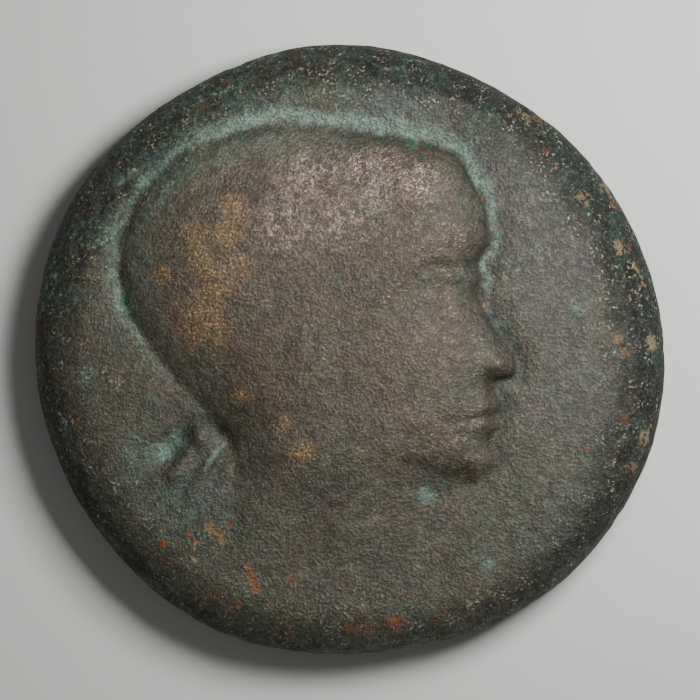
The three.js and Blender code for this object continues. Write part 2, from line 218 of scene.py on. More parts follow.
# Strength of single layers
HALO = 0.27
DUST = 0.4
SHORE = 0.35
# Painted shade round the hair tie's knot
KNOT_SHADE = 1.2
NECK_PALE = 0.6
FROST = (0.25, 0.75)  # everywhere, and added by the verdigris
WORN = (0.21, 0.32)  # field and head
GRIT = 0.2
LOWER_SIDE = {"frost": 0.3, "teal": 0.4, "grit": 0.3, "worn": 0.2}  # the others are 0 there

# Mottled band along the edge, by direction in degrees: width as a share of the radius, and strength
BAND_DIRECTIONS = [-180, -135, -90, -45, -15, 20, 60, 90, 120, 150, 180]
BAND_WIDTHS = [0.17, 0.15, 0.13, 0.2, 0.25, 0.23, 0.22, 0.24, 0.28, 0.32, 0.17]
BAND_STRENGTHS = [0.85, 0.75, 0.55, 0.5, 0.8, 1, 1, 1, 1, 1, 0.85]
GREEN_EDGE = (32, 35)  # middle and spread in degrees

# Spots and patches of the portrait side: (x, y, reach)
GOLDEN_PATCHES = [
    (-4.9, 5.9, 0.8), (-6.5, 4.7, 0.8), (-5.9, 3.6, 1.1), (-5.2, 4.8, 0.9), (-6.2, 1.2, 1.5),
    (-5.6, 2.5, 0.9), (-7.9, 3.1, 0.5), (-4.5, -1.9, 0.5), (-4.6, 3.5, 0.6), (-1.9, -4.4, 0.6),
    (-2.8, -3.2, 0.4),
]
RUST_SPOTS = [
    (-6.3, 10.2, 0.2), (-5.2, 11.4, 0.2), (5.6, 6.3, 0.2), (-13.3, 0.9, 0.3), (12.3, 0.1, 0.15),
    (8.3, 8.5, 0.22), (7.9, 9.8, 0.25), (11.5, 6.1, 0.2), (11.9, 4.3, 0.2), (2.0, -11.5, 0.4),
    (1.1, -11.75, 0.2), (0.7, -11.8, 0.25), (0.3, -11.8, 0.2), (-0.1, -11.75, 0.25), (3.6, -11.4, 0.2),
    (4.7, -11.3, 0.2), (-0.9, -11.9, 0.15), (-2.6, -12.0, 0.2), (-4.3, -9.3, 0.2), (-4.2, -9.6, 0.25),
    (-4.1, -9.9, 0.28), (-3.95, -10.25, 0.2), (-5.9, -10.6, 0.2), (-5.4, -10.5, 0.15), (-4.6, -10.9, 0.2),
    (-6.84, -7.8, 0.2), (-6.6, -8.15, 0.22), (-5.05, -7.45, 0.2), (-8.0, -8.3, 0.3), (-7.9, -8.9, 0.2),
    (-2.6, -9.7, 0.2), (11.6, -2.9, 0.4), (10.1, -4.2, 0.2),
]
GREEN_SPOTS = [
    (2.7, 8.8, 0.25), (-9.5, 1.9, 0.35), (-8.8, 7.0, 0.25), (3.3, -6.2, 0.45), (6.0, -9.1, 0.25),
    (9.6, 1.8, 0.2), (-7.9, -4.3, 0.5), (-7.3, -3.8, 0.45), (-6.15, -5.0, 0.14), (-5.95, -4.75, 0.16),
    (-5.75, -4.5, 0.16), (-5.55, -4.3, 0.14), (1.4, 9.1, 0.2),
]
EMERALD_SPOTS = [
    (-9.5, 2.1, 0.3), (-9.3, 1.5, 0.25), (-9.7, 2.9, 0.2), (2.6, 8.75, 0.25), (3.4, 8.6, 0.2),
    (-6.9, -3.5, 0.2),
]
# Rubbed wear on the crown, which also places a painted highlight there
CROWN_WEAR_AND_HIGHLIGHT = [(-1.6, 6.9, 1.9), (0.9, 7.1, 1.9), (2.9, 7.0, 1.2), (-2.6, 5.4, 1.8), (-0.3, 5.4, 1.5)]
PALE_NECK = [(-4.6, -4.2, 1.2), (-4.0, -5.8, 1.2), (-2.6, -7.2, 1.6), (0.4, -7.3, 1.3)]
TEAL_PATCHES = [
    (-7.0, -6.5, 2.0), (-9.0, -4.6, 1.4), (-11.3, -1.3, 0.6), (-8.6, -5.4, 0.6), (-5.8, -4.7, 0.7),
    (-10.4, 4.8, 0.9), (-8.0, 7.4, 1.1), (-4.5, 10.3, 1.3), (0.5, 11.0, 1.8), (3.0, 11.4, 1.6),
    (5.5, 10.3, 1.8), (9.8, 6.8, 1.2), (9.8, -6.3, 1.2), (8.6, -8.5, 1.4), (6.0, -9.1, 0.7),
]
# Greyer patches of the field, mostly on the right, partly tone and partly a painted sheen
COOL_SHEEN_PATCHES = [(8.6, 3.0, 3.0), (6.8, 7.0, 2.0), (9.5, -1.5, 2.5), (2.0, 10.6, 1.6), (-4.0, 10.2, 1.2)]
OCHRE_SPOTS = [
    (-5.9, -7.55, 0.4), (-5.6, -7.8, 0.4), (-5.35, -8.15, 0.3), (-11.6, -3.2, 0.25), (11.3, 0.5, 0.35),
    (11.6, -0.1, 0.3), (-2.3, -9.9, 0.3),
]
GRITTY_PATCHES = [
    (-9.5, -6.0, 2.5), (-6.0, -9.5, 2.5), (-11.5, -1.0, 2.0), (-10.0, 5.0, 2.0), (0.0, -12.0, 2.0),
]
# Painted shade in the hollows round the hair tie's knot
SHADED_KNOT_SPOTS = [
    (-6.85, -3.55, 0.3), (-6.6, -3.05, 0.35), (-6.05, -2.95, 0.35), (-5.5, -3.45, 0.35), (-5.1, -3.9, 0.3),
]
CREAM_FLAKES = [
    (6.9, 9.95, 0.4), (7.5, 9.8, 0.4), (8.1, 9.6, 0.35), (8.7, 7.7, 0.25), (9.9, 6.4, 0.45),
    (10.9, 6.9, 0.3), (11.3, 6.4, 0.35), (11.5, 4.3, 0.35), (12.0, 3.5, 0.35), (12.4, 2.8, 0.35),
    (12.0, 2.4, 0.3), (12.9, 0.3, 0.4), (12.6, -3.7, 0.4), (12.0, -5.0, 0.3), (6.2, 5.2, 0.2),
    (5.8, 1.9, 0.25), (-6.5, -8.9, 0.25),
]

# Colours of the patina, and of its painted shade and highlight, in linear red, green and blue
BROWN_SKIN = (0.086, 0.076, 0.053)
OLIVE_SKIN = (0.068, 0.071, 0.05)
# Greyer skin of the field, partly tone and partly a painted sheen
COOL_SKIN_AND_SHEEN = (0.092, 0.09, 0.076)
WARM_SKIN = (0.104, 0.08, 0.055)
PALE_SKIN = (0.14, 0.13, 0.1)
# Pale rubbed skin, partly wear and partly a painted highlight on the crown
RUBBED_SKIN_AND_HIGHLIGHT = (0.2, 0.15, 0.12)
TEAL_FILM = (0.08, 0.108, 0.087)
# Dark dirt and painted shade in the hollows of the relief
HOLLOW_DIRT_AND_SHADE = (0.036, 0.042, 0.031)
# Painted shade along the head's outline and round the knot
SEAM_SHADE = (0.025, 0.027, 0.02)
GOLDEN_HAZE = (0.18, 0.112, 0.05)
GOLDEN_GRAIN = (0.52, 0.3, 0.13)
BARE_METAL = (0.58, 0.43, 0.36)
EDGE_BROWN = (0.05, 0.044, 0.029)
EDGE_GREEN = (0.033, 0.064, 0.048)
EDGE_GREY_GREEN = (0.046, 0.068, 0.053)
EDGE_UMBER = (0.05, 0.036, 0.022)
EDGE_BLACK = (0.026, 0.027, 0.02)
EDGE_TEAL = (0.055, 0.1, 0.077)
EDGE_MINT = (0.15, 0.2, 0.15)
DULL_VERDIGRIS = (0.125, 0.2, 0.158)
PALE_VERDIGRIS = (0.29, 0.385, 0.3)
EMERALD = (0.03, 0.11, 0.065)
GREEN_GRIT = (0.24, 0.29, 0.22)
PINK_GRIT = (0.28, 0.19, 0.15)
OCHRE = (0.17, 0.105, 0.045)
CREAM = (0.27, 0.26, 0.18)
CREAM_STAIN = (0.2, 0.13, 0.065)
RED_RUST = (0.28, 0.07, 0.033)
ORANGE_RUST = (0.22, 0.11, 0.045)
EDGE_RUST = (0.075, 0.034, 0.022)

# Studio, in metres. Lights: azimuth, elevation, distance, size and power. Azimuth 0 is towards +X and 90
# towards +Y.
KEY_LIGHT = (36, 57, 0.062, 0.025, 0.05)
FILL_LIGHT = (200, 50, 0.4, 0.3, 0.03)
WORLD_STRENGTH = 0.10
FLOOR_REACH = 2.0
FLOOR_COLOUR = (0.78, 0.77, 0.75, 1)
FLOOR_ROUGHNESS = 0.9

# Camera, in millimetres
VIEW_WIDTH = 30.0
VIEW_CENTRE = (0.02, -0.04)
LENS = 200
SENSOR_WIDTH = 36


def lerp(start, end, share):
    return start + (end - start) * share


def smoothstep(value, low, high):
    share = np.clip((value - low) / (high - low), 0, 1)
    return share * share * (3 - 2 * share)


def gauss(value):
    return np.exp(-value * value)


def noise(points, size, seed, cells=(32, 32, 32)):
    """Smooth noise from -1 to 1 with blobs of about that size. It repeats after that many cells."""
    lattice = np.random.default_rng(seed).uniform(-1, 1, cells)
    cell = np.floor(points / size).astype(int)
    share = smoothstep(points / size - cell, 0, 1)
    total = np.zeros(len(points))
    for corner in itertools.product((0, 1), repeat=3):
        weight = np.prod(np.where(corner, share, 1 - share), axis=1)
        total += weight * lattice[tuple(((cell + corner) % cells).T)]
    return total


def ring_noise(points, seed):
    """Noise drawn out along the edge of the coin, in flakes of two sizes"""
    x, y, z = points.T
    turns = np.arctan2(y, x) / (2 * np.pi)
    total = 0
    for count, share in FLAKES:
        flake = FLAKE_SPAN / count
        places = np.stack([turns * count, np.hypot(x, y) / flake, z / flake], axis=1)
        total = total + share * noise(places, 1, seed + count, (count, 64, 64))
    return total


def outline_radius(azimuth):
    """Distance from the middle of the flan to its widest edge"""
    radius = FLAN_RADIUS + OUTLINE_SHIFT * np.cos(azimuth - np.radians(OUTLINE_SHIFT_SIDE))
    for count, rise, crest in OUTLINE_WAVES:
        radius = radius + rise * np.cos(count * (azimuth - np.radians(crest)))
    return radius


def to_head(x, y):
    """The place in the head's own frame, as shares of its height"""
    across, up = x - HEAD_CENTRE[0], y - HEAD_CENTRE[1]
    cos, sin = np.cos(np.radians(HEAD_TILT)), np.sin(np.radians(HEAD_TILT))
    return (across * cos + up * sin) / HEAD_HEIGHT, (up * cos - across * sin) / HEAD_HEIGHT


def head_outline():
    """The head's closed outline: a centripetal Catmull-Rom curve through the landmarks"""
    cos, sin = np.cos(np.radians(HEAD_TILT)), np.sin(np.radians(HEAD_TILT))
    marks = np.array(HAIR + FACE + NECK) @ [[cos, sin], [-sin, cos]] * HEAD_HEIGHT + HEAD_CENTRE
    before, start, end, after = (np.roll(marks, -shift, axis=0) for shift in (-1, 0, 1, 2))
    spans = (before, start), (start, end), (end, after)
    first, middle, last = (np.sqrt(np.linalg.norm(b - a, axis=1))[:, None] for a, b in spans)
    leave = middle * ((start - before) / first - (end - before) / (first + middle) + (end - start) / middle)
    arrive = middle * ((end - start) / middle - (after - start) / (middle + last) + (after - end) / last)
    share = np.arange(OUTLINE_STEPS)[None, :, None] / OUTLINE_STEPS
    start, end, leave, arrive = (value[:, None, :] for value in (start, end, leave, arrive))
    square, cube = 3 * (end - start) - 2 * leave - arrive, 2 * (start - end) + leave + arrive
    curve = start + leave * share + square * share**2 + cube * share**3
    return curve.reshape(-1, 2)


def depth_in_head(x, y):
    """How far points lie inside the head's outline, negative outside, and a softer measure"""
    outline = head_outline()
    nearest = np.full(x.shape, np.inf)
    field = np.zeros(x.shape)
    is_inside = np.zeros(x.shape, bool)
    for a, b in zip(outline, np.roll(outline, -1, axis=0)):
        run = b - a
        length = np.hypot(*run)
        share = np.clip(((x - a[0]) * run[0] + (y - a[1]) * run[1]) / length**2, 0, 1)
        nearest = np.minimum(nearest, np.hypot(x - a[0] - share * run[0], y - a[1] - share * run[1]))
        middle = np.hypot(x - a[0] - run[0] / 2, y - a[1] - run[1] / 2)
        field += length / np.maximum(middle, length / 2) ** 4
        if a[1] != b[1]:
            crosses = ((a[1] > y) != (b[1] > y)) & (x < a[0] + run[0] * (y - a[1]) / run[1])
            is_inside ^= crosses
    soft = np.cbrt(np.pi / 2 / field)
    return np.where(is_inside, nearest, -nearest), np.where(is_inside, soft, 0)


def detail_rise(along, up, detail):
    """A smooth oval bump or hollow in the head's frame"""
    at, length, width, turn, rise = detail
    cos, sin = np.cos(np.radians(turn)), np.sin(np.radians(turn))
    lengthwise = ((along - at[0]) * cos + (up - at[1]) * sin) / length
    sideways = ((up - at[1]) * cos - (along - at[0]) * sin) / width
    return rise * gauss(lengthwise) * gauss(sideways)


def fringe_rise(along, up):
    """Rise of the hair above the face"""
    edge = lerp(FRINGE_TEMPLE[1], FRINGE_FRONT[1], smoothstep(along, FRINGE_TEMPLE[0], FRINGE_FRONT[0]))
    above = smoothstep(up, edge - FRINGE_EDGE_WIDTH, edge + FRINGE_EDGE_WIDTH)
    return FRINGE_RISE * above * smoothstep(along, FRINGE_WORN, FRINGE_CRISP)


def jaw_drop(along, up):
    """Drop from the jaw to the neck"""
    run = (along - JAW_CORNER[0]) / (JAW_CHIN[0] - JAW_CORNER[0])
    edge = lerp(JAW_CORNER[1], JAW_CHIN[1], run)
    below = smoothstep(edge - up, -JAW_EDGE_WIDTH, JAW_EDGE_WIDTH)
    return JAW_STEP * below * smoothstep(run, *JAW_GROWS)


def crispness(x, y):
    """How much of the relief wear has left, from 0 to 1"""
    low_wear = smoothstep(y + FACE_CRISP * np.maximum(0, x), WORN_LEVEL, CRISP_LEVEL)
    return low_wear * lerp(BACK_SHARE, 1, smoothstep(x - y / 2, BACK_WORN, BACK_CRISP))


def obverse_level(x, y):
    """Height of the portrait side above the resting flat"""
    inside, soft = depth_in_head(x, y)
    along, up = to_head(x, y)
    crisp = lerp(WORN_SHARE, 1, crispness(x, y))
    neck_fade = smoothstep(y, NECK_FADE_END, NECK_FADE_START)
    swell = 1 - (1 - np.minimum(1, soft / DOME_REACH)) ** 2
    rim = 1 - np.exp(-np.maximum(inside, 0) / lerp(STEP_WORN, STEP_SHARP, crisp))
    relief = HEAD_DOME * swell + HEAD_STEP * rim + detail_rise(along, up, SKULL) * swell
    relief += fringe_rise(along, up) * np.clip(inside / FRINGE_ROUND, 0, 1) ** 0.5
    relief -= jaw_drop(along, up) * np.clip(inside / STEP_WORN, 0, 1)
    relief += sum(detail_rise(along, up, detail) for detail in FACE_DETAILS.values())
    level = FLAN_THICKNESS - FIELD_FALL * (x * x + y * y) / FLAN_RADIUS**2
    level += np.where(inside > 0, relief * neck_fade, 0)
    ditch_width = lerp(DITCH_NARROW, DITCH_WIDE, smoothstep(y - x / 2, *DITCH_CHANGE))
    level -= DITCH_DEPTH * crisp * gauss(inside / ditch_width)
    return level + sum(detail_rise(along, up, detail) for detail in HAIR_TIE.values())


def depth_in_limb(across, up, limb):
    """How far points lie inside one tapered limb, as shares of the bird's height"""
    start, end, radii = limb
    run_x, run_y = end[0] - start[0], end[1] - start[1]
    share = np.clip(((across - start[0]) * run_x + (up - start[1]) * run_y) / (run_x**2 + run_y**2), 0, 1)
    return lerp(*radii, share) - np.hypot(across - start[0] - share * run_x, up - start[1] - share * run_y)


def depth_in_bird(x, y):
    """How far points lie inside the bird, with its limbs blended into each other"""
    across, up = -x / BIRD_HEIGHT, y / BIRD_HEIGHT
    depths = (depth_in_limb(across, up, limb) * BIRD_HEIGHT for limb in BIRD_LIMBS.values())
    return np.log(sum(np.exp(2 * depth / BIRD_BLEND) for depth in depths)) * BIRD_BLEND / 2


def reverse_level(x, y):
    """Height of the lower side above the resting flat, to which the bird's top is worn down"""
    relief = BIRD_RELIEF * smoothstep(depth_in_bird(x, y), -BIRD_EDGE / 2, BIRD_EDGE / 2)
    return np.maximum(0, FIELD_RECESS - relief)


def face_points(out, azimuth, is_obverse):
    """Points of one side of the coin, by their share of the way from its middle to the edge"""
    bevel = OBVERSE_BEVEL if is_obverse else REVERSE_BEVEL
    bevel = bevel + BEVEL_SWING * np.cos(azimuth - np.radians(BEVEL_WIDE_SIDE))
    turn = np.maximum(0, out - FACE_SHARE) / (1 - FACE_SHARE) * np.pi / 2
    radius = (outline_radius(azimuth) - bevel) * np.minimum(1, out / FACE_SHARE) + bevel * np.sin(turn)
    x, y = radius * np.cos(azimuth), radius * np.sin(azimuth)
    level = obverse_level(x, y) if is_obverse else reverse_level(x, y)
    return np.stack([x, y, lerp(EDGE_LEVEL, level, np.cos(turn))], axis=1)


def disc_net():
    """A square net pressed into a disc: each node's share of the way out, and its azimuth"""
    b, a = np.meshgrid(np.linspace(-1, 1, GRID + 1), np.linspace(-1, 1, GRID + 1))
    is_wide = np.abs(a) > np.abs(b)
    out = np.where(is_wide, a, b)
    safe = np.where(out == 0, 1, out)
    azimuth = np.where(is_wide, np.pi / 4 * b / safe, np.pi / 2 - np.pi / 4 * a / safe)
    azimuth = np.where(out < 0, azimuth + np.pi, azimuth)
    return np.abs(out).ravel(), azimuth.ravel()


def coin_net():
    """Points and faces of the closed mesh: two nets that share their rim"""
    out, azimuth = disc_net()
    obverse, reverse = face_points(out, azimuth, True), face_points(out, azimuth, False)
    count = len(out)
    own = out < 1 - 1e-9  # the rest of the lower net's nodes lie on the shared rim
    reverse_name = np.where(own, count + np.cumsum(own) - 1, np.arange(count))
    name = np.arange(count).reshape(GRID + 1, GRID + 1)
    squares = np.stack([name[:-1, :-1], name[1:, :-1], name[1:, 1:], name[:-1, 1:]], axis=-1).reshape(-1, 4)
    points = np.concatenate([obverse, reverse[own]])
    points[:, :2] -= (points[:, :2].min(axis=0) + points[:, :2].max(axis=0)) / 2
    hollow = np.concatenate([hollowness(obverse[:, 2]), hollowness(-reverse[:, 2])[own]])
    return points, np.concatenate([squares, reverse_name[squares[:, ::-1]]]), hollow


def hollowness(level):
    """How far each node of a face's net lies below the mean of the nodes around it, from -1 to 1"""
    mean = level.reshape(GRID + 1, GRID + 1)
    kernel = np.full(2 * HOLLOW_REACH + 1, 1 / (2 * HOLLOW_REACH + 1))
    for axis in (0, 1):
        mean = np.apply_along_axis(
            lambda row: np.convolve(np.pad(row, HOLLOW_REACH, "edge"), kernel, "valid"), axis, mean
        )
    return np.clip((mean.ravel() - level) / HOLLOW_DEPTH, -1, 1)


def spots(x, y, places):
    """Share from 0 to 1 of soft round spots"""
    total = np.zeros(x.shape)
    for place_x, place_y, reach in places:
        total = np.maximum(total, gauss(np.hypot(x - place_x, y - place_y) / reach))
    return total


def outline_line(inside, middle, spread):
    """Share from 0 to 1 of a soft line that follows the head's outline"""
    return gauss((inside - middle) / spread)


def portrait_masks(x, y, edge, azimuth):
    """Where each layer of the patina, and of the painted shade and highlight, lies on the portrait side"""
    inside, _ = depth_in_head(x, y)
    direction = np.degrees(np.arctan2(y - HEAD_CENTRE[1], x - HEAD_CENTRE[0]))
    direction = np.where(direction < -90, direction + 360, direction)
    strength = np.interp(direction, DEPOSIT_DIRECTIONS, DEPOSIT_STRENGTHS)
    at_crown = smoothstep(y - x / 2, *CROWN_SLANT)
    at_back = 1 - smoothstep(x - y / 2, *DUST_SLANT)
    at_sides = smoothstep(np.abs(x - HEAD_CENTRE[0]), *HEAD_SIDES)

    spread = np.where(inside < DITCH_MIDDLE, lerp(*DITCH_OUTER_SPREAD, at_crown), DITCH_SPREAD)
    ditch = strength * outline_line(inside, DITCH_MIDDLE, spread)
    halo = HALO * strength * at_crown * outline_line(inside, *HALO_LINE)
    dust = DUST * outline_line(inside, *DUST_LINE) * at_back * smoothstep(y, *DUST_LEVEL)
    shore = SHORE * strength * outline_line(inside, *SHORE_LINE)
    shoulder = outline_line(inside, *SHOULDER_LINE) * (1 - smoothstep(x - y / 2, *SHOULDER_SLANT))
    # Painted shade: a dark line just inside the outline at the head's sides, where the rim is crisp
    seam_shade = outline_line(inside, *SEAM_SHADE_LINE) * crispness(x, y) * at_sides
    green_edge = smoothstep(edge, *GREEN_REACH) * outline_line(np.degrees(azimuth), *GREEN_EDGE)
    # Crown wear, which also places the painted highlight
    crown_wear_and_highlight = spots(x, y, CROWN_WEAR_AND_HIGHLIGHT) * smoothstep(inside, *CROWN_INSIDE)
    return {
        "verdigris": np.maximum.reduce([ditch, halo, dust, spots(x, y, GREEN_SPOTS)]),
        "frost": FROST[0] + FROST[1] * ditch,
        "golden": spots(x, y, GOLDEN_PATCHES),
        "rust": spots(x, y, RUST_SPOTS),
        "teal": np.maximum(spots(x, y, TEAL_PATCHES), green_edge),
        "cream": spots(x, y, CREAM_FLAKES),
        "ochre": spots(x, y, OCHRE_SPOTS),
        "emerald": np.maximum(spots(x, y, EMERALD_SPOTS), shore),
        "cool_sheen": spots(x, y, COOL_SHEEN_PATCHES),
        "seam_shade": np.maximum(KNOT_SHADE * spots(x, y, SHADED_KNOT_SPOTS), seam_shade),
        "grit": np.maximum(GRIT, spots(x, y, GRITTY_PATCHES)),
        "head": smoothstep(inside, *HEAD_INSIDE) * smoothstep(y, *HEAD_LEVEL),
        "shoulder": np.maximum(shoulder, NECK_PALE * spots(x, y, PALE_NECK)),
        # Wear, with the crown's painted highlight in it
        "worn": np.maximum(lerp(*WORN, smoothstep(inside, *WORN_INSIDE)), crown_wear_and_highlight),
    }


def masks(points, is_obverse):
    """Where each layer of the patina and of the painted shade and highlight lies, from 0 to 1 for each point
    """
    wobble = np.stack([noise(points, WOBBLE_SIZE, seed) for seed in (11, 12)])
    x, y = points.T[:2] + WOBBLE_REACH * wobble
    azimuth = np.arctan2(y, x)
    edge = np.hypot(x, y) / outline_radius(azimuth) + EDGE_WOBBLE * noise(points, EDGE_WOBBLE_SIZE, 13)
    band = np.interp(np.degrees(azimuth), BAND_DIRECTIONS, BAND_WIDTHS)
    band_strength = np.interp(np.degrees(azimuth), BAND_DIRECTIONS, BAND_STRENGTHS)
    portrait = portrait_masks(x, y, edge, azimuth)
    layers = {name: np.where(is_obverse, mask, LOWER_SIDE.get(name, 0)) for name, mask in portrait.items()}
    layers["rim"] = smoothstep(edge, 1 - band, 1.0) * band_strength
    # Painted shade: a darkening that grows towards the right-hand and upper-right edge
    layers["painted_edge_shade"] = smoothstep(x + y / 3, *EDGE_SHADE_SLANT) * smoothstep(edge, *EDGE_SHADE_REACH)
    layers["flakes"] = 0.5 + 0.5 * ring_noise(points, 20)
    return layers


def make_mesh(points, faces):
    mesh = bpy.data.meshes.new("coin_skin")
    mesh.vertices.add(len(points))
    mesh.vertices.foreach_set("co", (points * MM).astype(np.float32).ravel())
    mesh.loops.add(faces.size)
    mesh.loops.foreach_set("vertex_index", faces.ravel().astype(np.int32))
    mesh.polygons.add(len(faces))
    mesh.polygons.foreach_set("loop_start", np.arange(0, faces.size, 4, dtype=np.int32))
    mesh.update(calc_edges=True)
    mesh.shade_smooth()
    return mesh


def corroded(points, normals, layers):
    """The points moved along their normals by the skin's unevenness, its pits and its crust"""
    rim = layers["rim"]
    skin = WAVE_RISE * noise(points, WAVE_SIZE, 2) * lerp(1, WAVES_AT_EDGE, rim)
    skin = skin + SWELL_RISE * noise(points, SWELL_SIZE, 1) + LUMP_RISE * noise(points, LUMP_SIZE, 3)
    pits = PIT_DEPTH * smoothstep(noise(points, PIT_SIZE, 4), 0.3, 0.8) * lerp(PITS_IN_FIELD, 1, rim)
    skin = skin + FLAKE_RISE * ring_noise(points, 40) * rim
    crust = CRUST_RISE * layers["verdigris"] * smoothstep(noise(points, CRUST_SIZE, 5), -0.4, 0.8)
    moved = points + normals * (skin - pits + crust)[:, None]
    moved[:, 2] = np.maximum(0, moved[:, 2])
    return moved


def make_coin():
    points, faces, hollow = coin_net()
    is_obverse = np.arange(len(points)) < (GRID + 1) ** 2
    layers = {"hollow": hollow, **masks(points, is_obverse)}
    mesh = make_mesh(points, faces)
    normals = np.empty(len(points) * 3, np.float32)
    mesh.vertex_normals.foreach_get("vector", normals)
    points = corroded(points, normals.reshape(-1, 3), layers)
    mesh.vertices.foreach_set("co", (points * MM).astype(np.float32).ravel())
    for name, values in layers.items():
        mesh.attributes.new(name, "FLOAT", "POINT").data.foreach_set("value", values.astype(np.float32))
    mesh.update()
    coin = bpy.data.objects.new("coin_skin", mesh)
    bpy.context.collection.objects.link(coin)
    mesh.materials.append(patina())
    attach(coin, "root")
    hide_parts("coin")
    return coin


class Nodes:
    """Short names for the shader nodes that the patina uses"""

    def __init__(self, material):
        material.use_nodes = True
        self.tree = material.node_tree
        self.shader = self.tree.nodes["Principled BSDF"]
        self.place = self.tree.nodes.new("ShaderNodeTexCoord").outputs["Object"]

    def make(self, kind, inputs, output, **settings):
        node = self.tree.nodes.new("ShaderNode" + kind)
        for name, value in settings.items():
            setattr(node, name, value)
        for name, value in inputs.items():
            if isinstance(value, bpy.types.NodeSocket):
                self.tree.links.new(value, node.inputs[name])
            else:
                node.inputs[name].default_value = value
        return node.outputs[output]

    def join(self, name, value):
        """Links a value to the surface shader"""
        self.tree.links.new(value, self.shader.inputs[name])

    def attribute(self, name):
        return self.make("Attribute", {}, "Fac", attribute_name=name)

    def texture(self, size, detail=2.0, rough=0.5, output="Fac"):
        """Noise with blobs of that size in millimetres"""
        inputs = {"Vector": self.place, "Scale": 1 / (size * MM), "Detail": detail, "Roughness": rough}
        return self.make("TexNoise", inputs, output)

    def strokes(self, turn):
        """Thin short scratches that run in one direction"""
        inputs = {"Vector": self.place, "Rotation": (0, 0, np.radians(turn)), "Scale": SCRATCH_SIZE}
        place = self.make("Mapping", inputs, "Vector", vector_type="TEXTURE")
        share = self.make("TexNoise", {"Vector": place, "Scale": 1 / MM, "Detail": 1.0}, "Fac")
        return self.ramp(share, 0.63, 0.7)

    def ramp(self, value, low, high, start=0.0, end=1.0):
        inputs = {"Value": value, "From Min": low, "From Max": high, "To Min": start, "To Max": end}
        return self.make("MapRange", inputs, "Result", interpolation_type="SMOOTHSTEP")

    def maths(self, operation, *values):
        return self.make("Math", dict(enumerate(values)), 0, operation=operation)

    def times(self, first, second):
        return self.maths("MULTIPLY", first, second)

    def broken(self, mask, size, amount, low, high):
        """A mask of the mesh whose edge is broken up by noise, and which noise alone doesn't raise"""
        mask = self.attribute(mask)
        shift = self.maths("MULTIPLY_ADD", self.texture(size, 4.0, 0.7), amount, -amount / 2)
        share = self.ramp(self.maths("ADD", mask, shift), low, high)
        return self.times(share, self.ramp(mask, 0.0, 0.25))

    def blend(self, share, below, above, kind="MIX"):
        """Mixes two colours, each of them a socket or three numbers. Colours go into inputs 6 and 7."""
        inputs = {0: share}
        for place, colour in ((6, below), (7, above)):
            inputs[place] = colour if isinstance(colour, bpy.types.NodeSocket) else (*colour, 1)
        return self.make("Mix", inputs, 2, data_type="RGBA", blend_type=kind)


def bare_skin(nodes, patches):
    """Brown and olive, greyer in patches of the field that are partly a painted sheen, warmer on the head,
    and with a teal film in places
    """
    skin = nodes.blend(nodes.ramp(patches, 0.4, 0.65), BROWN_SKIN, OLIVE_SKIN)
    # Partly a painted sheen: the field greyer in patches, mostly on the right
    skin = nodes.blend(nodes.attribute("cool_sheen"), skin, COOL_SKIN_AND_SHEEN)
    warmth = nodes.ramp(nodes.texture(2.0, 3.0), 0.35, 0.6, 0.3, 1.0)
    skin = nodes.blend(nodes.times(nodes.attribute("head"), warmth), skin, WARM_SKIN)
    skin = nodes.blend(nodes.attribute("shoulder"), skin, PALE_SKIN)
    film = nodes.ramp(nodes.texture(0.8, 4.0, 0.6), 0.35, 0.6, 0.1, 0.7)
    return nodes.blend(nodes.times(nodes.attribute("teal"), film), skin, TEAL_FILM)


def add_wear_shade_and_highlight(nodes, skin, hollow, coarse):
    """Dirt and painted shade in the hollows, golden grains at the back of the head, and a painted highlight
    on the rubbed crown
    """
    # Dirt and painted shade: the hollows of the relief darkened
    skin = nodes.blend(nodes.ramp(hollow, 0.1, 1.0, 0.0, 0.2), skin, HOLLOW_DIRT_AND_SHADE)
    golden = nodes.broken("golden", 0.5, 1.3, 0.15, 1.2)
    skin = nodes.blend(nodes.times(golden, 0.7), skin, GOLDEN_HAZE)
    grains = nodes.ramp(nodes.texture(0.11, 3.0, 0.6), 0.52, 0.62)
    skin = nodes.blend(nodes.times(golden, grains), skin, GOLDEN_GRAIN)
    # Painted highlight, partly rubbed wear: a pale colour where the crown's wear is strongest
    rubbed_highlight = nodes.times(nodes.ramp(nodes.attribute("worn"), 0.3, 0.9), nodes.ramp(coarse, 0.3, 0.7))
    return nodes.blend(nodes.times(rubbed_highlight, 0.5), skin, RUBBED_SKIN_AND_HIGHLIGHT)


def edge_tone(nodes, patches, flakes):
    """The mottled band along the edge: brown and green patches under flakes from black to mint"""
    teal = nodes.ramp(nodes.attribute("teal"), 0.0, 1.0, -0.2, 0.8)
    tone = nodes.blend(nodes.maths("ADD", nodes.ramp(patches, 0.45, 0.6), teal), EDGE_BROWN, EDGE_GREEN)
    tone = nodes.blend(nodes.ramp(nodes.texture(0.7, 4.0, 0.6), 0.5, 0.56), tone, EDGE_GREY_GREEN)
    tone = nodes.blend(nodes.ramp(nodes.texture(0.6, 4.0, 0.6), 0.54, 0.6), tone, EDGE_UMBER)
    tone = nodes.blend(nodes.ramp(flakes, 0.15, 0.45), EDGE_BLACK, tone)
    tone = nodes.blend(nodes.ramp(flakes, 0.57, 0.75), tone, EDGE_TEAL)
    return nodes.blend(nodes.ramp(flakes, 0.8, 0.95), tone, EDGE_MINT)


